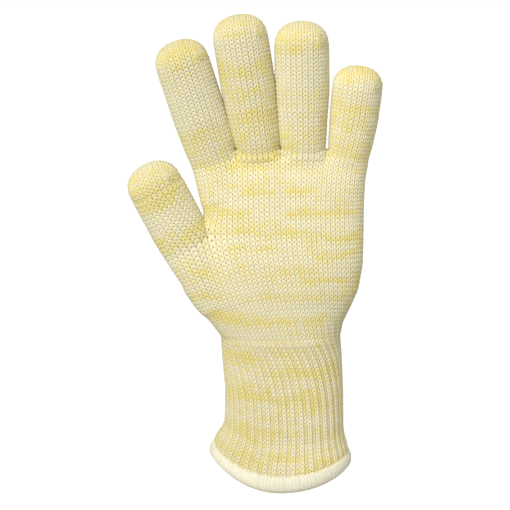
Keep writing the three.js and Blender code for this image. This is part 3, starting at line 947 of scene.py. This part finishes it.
def repeat(name, loop, points, yellow, tone, material, slot, stands_for=(), crevice_shade=CREVICE_SHADE):
    """A piece made of many copies of one loop, from all their points in mm."""
    count, per = points.shape[:2]
    per_corner, per_face = len(loop["corners"]), len(loop["sizes"])
    mesh = bpy.data.meshes.new(name)
    mesh.vertices.add(count * per)
    mesh.vertices.foreach_set("co", (points * MM).ravel())
    mesh.loops.add(count * per_corner)
    mesh.loops.foreach_set("vertex_index", (np.arange(count)[:, None] * per + loop["corners"]).ravel())
    starts = np.concatenate([[0], np.cumsum(loop["sizes"])[:-1]])
    mesh.polygons.add(count * per_face)
    mesh.polygons.foreach_set("loop_start", (np.arange(count)[:, None] * per_corner + starts).ravel())
    mesh.update(calc_edges=True)
    total = count * loop["parts"]
    wide = math.ceil(math.sqrt(total))
    cell = np.arange(count)[:, None] * loop["parts"] + loop["part_of"]
    corner = np.stack([cell % wide, cell // wide], -1)
    mesh.uv_layers.new(name="OFBake").uv.foreach_set("vector", ((corner + loop["uvs"]) / wide).ravel())
    start = np.random.default_rng(5).random(total)[cell] * 9
    round_it = np.broadcast_to(loop["uvs"][:, 0], cell.shape)
    yarn_uv = np.stack([round_it, loop["uvs"][:, 1] * YARN_STRETCH + start], -1)
    mesh.uv_layers.new(name="Yarn").uv.foreach_set("vector", yarn_uv.ravel())
    # painted light and shade: yellower towards a grain's foot, between the grains, and paler on its crown
    deep = crevice_shade * (0.6 - np.clip(loop["points"][:, 2] / OUTERMOST, 0, 1))
    leg = LEG_SPREAD * (np.random.default_rng(7).random((count, loop["parts"])) - 0.5)
    yellow = np.clip(np.asarray(yellow)[:, None] + leg[:, loop["point_part"]] + deep, 0, 1).ravel()
    mesh.attributes.new("Yellow", "FLOAT", "POINT").data.foreach_set("value", yellow)
    mesh.attributes.new("Tone", "FLOAT", "POINT").data.foreach_set("value", np.repeat(tone, per))
    return add_piece(name, mesh, material, stands_for)


def fill(group, loop, widen=1.0, lift=0.0):
    """Points of one loop in each cell. Widen stretches the loops across, and lift raises them in mm."""
    corners, outward = group["corners"], group["outward"]
    across = np.linalg.norm(corners[:, 1] - corners[:, 0] + corners[:, 2] - corners[:, 3], axis=1) / 2
    up = np.linalg.norm(corners[:, 0] - corners[:, 3] + corners[:, 1] - corners[:, 2], axis=1) / 2
    bulk = np.clip((across / CELL[0] + up / CELL[1]) / 2, 0.6, 1.25)[:, None]
    count = len(corners)
    u = 0.5 + np.broadcast_to(widen, count)[:, None] * loop["points"][:, 0] / CELL[0]
    v = np.broadcast_to(loop["points"][:, 1] / CELL[1], u.shape)
    weights = np.stack([(1 - u) * v, u * v, u * (1 - v), (1 - u) * (1 - v)], -1)
    points = np.einsum("npc,nck->npk", weights, corners)
    out = np.einsum("npc,nck->npk", np.clip(weights, 0, 1), outward)
    out /= np.linalg.norm(out, axis=2, keepdims=True)
    return points + (bulk * loop["points"][:, 2] + np.broadcast_to(lift, count)[:, None])[..., None] * out


# %% [markdown]
# ## The stalls
#
# The stalls are plain knitting. Bands of yellower and paler yarn go right round them, charted from
# course to course. They are tighter than the palm, so less light comes back from between their loops and
# they look a little darker, but for the domes, which are stretched and worn paler.

# %% Knit the stalls
STALL_COLOURS_AND_SHADE = {  # how yellow, how bright (painted shade: below 1 the stall's yarn is painted darker), and bands of (first course, last course, how much more yellow)
    "index_finger": (0.45, 0.88, ((-37, -32, -0.1), (-30, -27, 0.35), (-24, -10, -0.25), (-9, -8, 0.2))),
    "middle_finger": (0.5, 0.89, ((-38, -30, 0.25), (-29, -24, -0.35), (-23, -19, 0.25), (-18, -12, -0.1),
                                  (-10, -5, 0.3))),
    "ring_finger": (0.4, 0.93, ((-36, -26, 0.15), (-24, -17, -0.3), (-15, -9, -0.15), (-7, -4, 0.2))),
    "little_finger": (0.5, 0.98, ((-28, -21, 0.25), (-19, -16, -0.25), (-15, -10, 0.15), (-4, -2, 0.3))),
    "thumb": (0.45, 0.92, ((-6, 3, 0.2), (6, 9, -0.4), (11, 14, 0.3))),
}
DOME_FADE = 8  # mm over which a dome's colour begins
for name, tube in tubes.items():
    group = cells[name]
    # a brightness below 1 is painted shade for the tighter stalls
    bias, bright, bands = STALL_COLOURS_AND_SHADE[name]
    yellow, tone = colours(group, bias, bands, bright)
    out_along = (group["corners"].mean(1) - tube.root) @ tube.along
    dome_share = np.clip((out_along - tube.dome_start) / DOME_FADE, 0, 1)
    repeat(name + "_knit", plain_loop, fill(group, plain_loop), yellow * (1 - 0.1 * dome_share),
           tone * (1 + 0.05 * dome_share), KNIT, "aramid_knit", (name,))

# %% [markdown]
# ## The palm and the ribbed wrist
#
# The wrist is a 1 by 1 rib: one wale stands high and the next lies low, and is yellower. The ribs begin
# softly at the heel of the hand, and at the left the wrist is stretched nearly flat. Real ribs turn every
# second loop to the back. At this size only their legs show, so plain loops are set high and wide or low and
# narrow instead.

# %% Knit the palm and the wrist
RIBS_FROM, RIBS_FULL = 106, 76  # heights in mm
RIB_RISE, RIB_WIDER = 0.32, 0.2  # mm, and share of a loop's width
VALLEY_YELLOW = 0.32  # how much yellower the low wales are
ACROSS_SHADE = 0.0021  # painted light and shade: for each mm to the right the wrist is painted so much paler, and so much darker to the left


def knit(name, group, *finish):
    """Knits cells of the palm or wrist. Ribs begin at the heel: even wales high and wide, odd ones low."""
    x, _, height = group["corners"].mean(1).T
    begun = np.clip((RIBS_FROM - height) / (RIBS_FROM - RIBS_FULL), 0, 1)
    odd = group["wale"] % 2 == 1
    rib = np.where(odd, -1.2, 1) * begun * (0.4 + 0.6 * np.clip((x + 10) / 35, 0, 1))
    yellow, tone = colours(group, 0.38 + VALLEY_YELLOW * begun * odd)
    # painted shade: round the heel of the hand, which turns a little downward, and the top of the wrist, the
    # yarn is painted darker, most of all from 90 to 105 mm high
    tone *= np.interp(height, (72, 90, 105, 145), (0.97, 0.89, 0.89, 1))
    # painted light and shade across the wrist, below where the ribs begin
    tone *= 1 + ACROSS_SHADE * x * np.clip((RIBS_FROM - height) / 18, 0, 1)
    points = fill(group, plain_loop, 1 + RIB_WIDER * rib, RIB_RISE * rib)
    repeat(name, plain_loop, points, yellow, tone, *finish)


for name in ("palm_upper", "palm_middle", "palm_lower"):
    knit(name + "_knit", cells[name], KNIT, "aramid_knit", ("palm",))
even = cells["cuff"]["wale"] % 2 == 0
for name, chosen in (("cuff_ribs", even), ("cuff_valleys", ~even)):
    group = {key: value[chosen] for key, value in cells["cuff"].items()}
    knit(name, group, RIB, "rib_knit", ("rib_cuff",))

# %% [markdown]
# ## The hem
#
# The cuff's raw edge is bound on an overedge machine: paler thread lies over it in a close row of turns,
# each one up the outside, round the foot and up the inside. Below the turns is a plain round core, so that
# no light comes between them.

# %% The hem's core and its turns of thread
HEM = [  # share of the cuff's height, and mm inside its outline: up the inside from the outer edge
    (0.098, 0.6),
    (0.080, -0.2),
    (0.045, -0.9),
    (0.010, -0.7),
    (-0.012, 0.6),
    (-0.012, 2.2),
    (0.008, 3.4),
    (0.045, 3.6),
    (0.085, 3.3),
]
WRAPS = 230  # turns of thread
CORE_SIDES = 160
core = bmesh.new()
core_rows = knit_down(core, cast_on(core, CORE_SIDES), len(HEM) - 1)
for row, (up, inset) in zip(core_rows, HEM):
    for vert, where in zip(row, cuff_ring(up, np.arange(CORE_SIDES) / CORE_SIDES, inset)):
        vert.co = where * MM
ends = [edge for edge in core.edges if edge.is_boundary]
bmesh.ops.bridge_loops(core, edges=ends)
bmesh.ops.recalc_face_normals(core, faces=core.faces)
core_mesh = bpy.data.meshes.new("hem_core")
core.to_mesh(core_mesh)
for attribute, value in (("Yellow", 0.6), ("Tone", 0.97)):
    layer = core_mesh.attributes.new(attribute, "FLOAT", "POINT")
    layer.data.foreach_set("value", np.full(len(core.verts), value))
add_piece("hem_core", core_mesh, THREAD, ("hem",))


def straight_thread(stations, end_radius, radius):
    """A thread with one station to each whole number along it, to be laid along a line later."""
    radii = [end_radius] + [radius] * (stations - 2) + [end_radius]
    return as_arrays([grain([(0, j, 0) for j in range(stations)], radii)])


def along_lines(loop, centres, sides):
    """Points of threads along lines of centres, with each line's sideways direction."""
    tangents = np.gradient(centres, axis=1)
    outs = np.cross(sides, tangents)
    outs /= np.linalg.norm(outs, axis=2, keepdims=True)
    sides = np.cross(tangents, outs)
    sides /= np.linalg.norm(sides, axis=2, keepdims=True)
    j = np.rint(loop["points"][:, 1]).astype(int)
    return (centres[:, j] + loop["points"][:, :1] * sides[:, j] + loop["points"][:, 2:] * outs[:, j])


turn_loop = straight_thread(len(HEM), 0.35, 0.74)
rng = np.random.default_rng(3)
starts = (np.arange(WRAPS) + 0.15 * rng.random(WRAPS)) / WRAPS
slant = np.linspace(0, 1.6 / WRAPS, len(HEM))  # a turn leans by 1.6 threads on its way round
ends = 0.016 * (rng.random(WRAPS) - 0.5)  # the upper ends aren't in one line
lines = []
for step in (0, 0.001):
    line = [cuff_ring(up, starts + lean + step, inset - 0.3) for (up, inset), lean in zip(HEM, slant)]
    line[0][:, 2] += CUFF_LENGTH * ends
    lines.append(np.stack(line, 1))
centres, ahead = lines
points = along_lines(turn_loop, centres, ahead - centres)
repeat("hem_turns", turn_loop, points, 0.5 * rng.random(WRAPS), 0.97 + 0.06 * rng.random(WRAPS), THREAD,
       "hem_thread", ("hem",), crevice_shade=0.0)

# %% [markdown]
# ## Where the stalls are closed
#
# The machine finishes each stall at one shoulder of the tip, where the last yarn is drawn up into a small
# flat coil. The coil lies on the dome at the front, on the side away from the thumb.

# %% The closings at the tips
STATIONS = 36
COIL_TURNS = 2.1
COIL_ACROSS, COIL_UP = 0.72, 0.36  # shares of the half width and of the climb over the dome
coil_loop = straight_thread(STATIONS, 0.3, 0.7)
turns = np.linspace(0, 2 * math.pi * COIL_TURNS, STATIONS)
reach_out = 0.5 + 3.0 * turns / turns[-1]
coils, coil_sides = [], []
for tube in tubes.values():
    y, h, out, _ = dome_line(tube, COIL_ACROSS, np.array([COIL_UP]))
    half = tube.width / 2 - SINK
    centre = tube.point(tube.dome_start + h, np.array([COIL_ACROSS * half]), y)[0]
    out = (out[:, :1] * tube.across + out[:, 1:2] * [0, 1, 0] + out[:, 2:] * tube.along)[0]
    out /= np.linalg.norm(out)
    aside = np.cross(tube.along, out)
    aside /= np.linalg.norm(aside)
    upward = np.cross(out, aside)
    a = 0.8 * reach_out * np.cos(turns)
    b = 1.25 * reach_out * np.sin(turns)
    rise_out = 0.95 - (a**2 + b**2) / 26  # the coil bends with the dome
    coils.append(centre + a[:, None] * aside + b[:, None] * upward + rise_out[:, None] * out)
    tangents = np.gradient(coils[-1], axis=0)
    coil_sides.append(np.cross(tangents, out))
points = along_lines(coil_loop, np.array(coils), np.array(coil_sides))
# painted shade: the coils' tone of 0.85 makes them darker than the knit round them, for the shade in the
# crease where each stall is closed
repeat("tip_closings", coil_loop, points, np.full(len(coils), 0.35), np.full(len(coils), 0.85), KNIT,
       "aramid_knit")

# %% [markdown]
# ## Light, camera and floor
#
# The glove stands upright, as if worn, before plain white. One large soft light comes from the upper left in
# front, and a bright room fills the shadows, so the loops show by small soft shadows only. A long lens from
# a little above gives nearly parallel lines. The floor lies well under the hem, where its shadow doesn't
# show, and looks white from the camera.

# %% Light the glove and set up the camera
ROOM_LIGHT, ROOM_SEEN = 0.5, 1.0  # strength of the room as a light, and as the background
scene = bpy.context.scene
scene.view_settings.view_transform = "Standard"
world = bpy.data.worlds.new("room")
scene.world = world
world.use_nodes = True
sky = world.node_tree.nodes["Background"]
seen = add_node(world.node_tree, "ShaderNodeLightPath")
strength = add_node(world.node_tree, "ShaderNodeMix",
                    {0: seen.outputs["Is Camera Ray"], 2: ROOM_LIGHT, 3: ROOM_SEEN})
world.node_tree.links.new(strength.outputs[0], sky.inputs["Strength"])
sky.inputs["Color"].default_value = (1, 1, 1, 1)


def box_light(name, where, towards, size, power):
    """A soft box that shines on a point."""
    lamp = bpy.data.lights.new(name, "AREA")
    lamp.size = size
    lamp.energy = power
    shown = bpy.data.objects.new(name, lamp)
    shown.location = where
    shown.rotation_mode = "QUATERNION"
    shown.rotation_quaternion = (Vector(towards) - Vector(where)).to_track_quat("-Z", "Y")
    scene.collection.objects.link(shown)


box_light("key", (-0.5, -1.15, 1.05), (0, 0, 0.14), 0.8, 14.6)

CAMERA_AWAY = 1.6
CAMERA_RISE = math.radians(12)
AIM = Vector((-0.0154, 0, 0.1389))  # the middle of the picture
camera_data = bpy.data.cameras.new("camera")
camera_data.lens = 188.2
camera_data.sensor_width = 36
camera = bpy.data.objects.new("camera", camera_data)
back = Vector((0, -math.cos(CAMERA_RISE), math.sin(CAMERA_RISE)))
camera.location = AIM + CAMERA_AWAY * back
camera.rotation_mode = "QUATERNION"
camera.rotation_quaternion = (-back).to_track_quat("-Z", "Y")
scene.collection.objects.link(camera)
scene.camera = camera
print("camera", CAMERA_AWAY, "m away with a lens of", camera_data.lens, "mm")

# %% Lay the floor
FLOOR_HEIGHT = -0.06
floor_mesh = bmesh.new()
bmesh.ops.create_grid(floor_mesh, x_segments=1, y_segments=1, size=3)
floor_data = bpy.data.meshes.new("floor")
floor_mesh.to_mesh(floor_data)
floor = bpy.data.objects.new("floor", floor_data)
floor.location = (0, 0, FLOOR_HEIGHT)
scene.collection.objects.link(floor)
paper = bpy.data.materials.new("paper")
paper.use_nodes = True
sheet = paper.node_tree.nodes["Principled BSDF"]
sheet.inputs["Base Color"].default_value = (0.6, 0.6, 0.6, 1)
sheet.inputs["Emission Color"].default_value = (1, 1, 1, 1)
seen = add_node(paper.node_tree, "ShaderNodeLightPath")
glow = add_node(paper.node_tree, "ShaderNodeMix", {0: seen.outputs["Is Camera Ray"], 2: 0.0, 3: 0.7})
paper.node_tree.links.new(glow.outputs[0], sheet.inputs["Emission Strength"])
floor_data.materials.append(paper)
print("floor at", FLOOR_HEIGHT, "m")
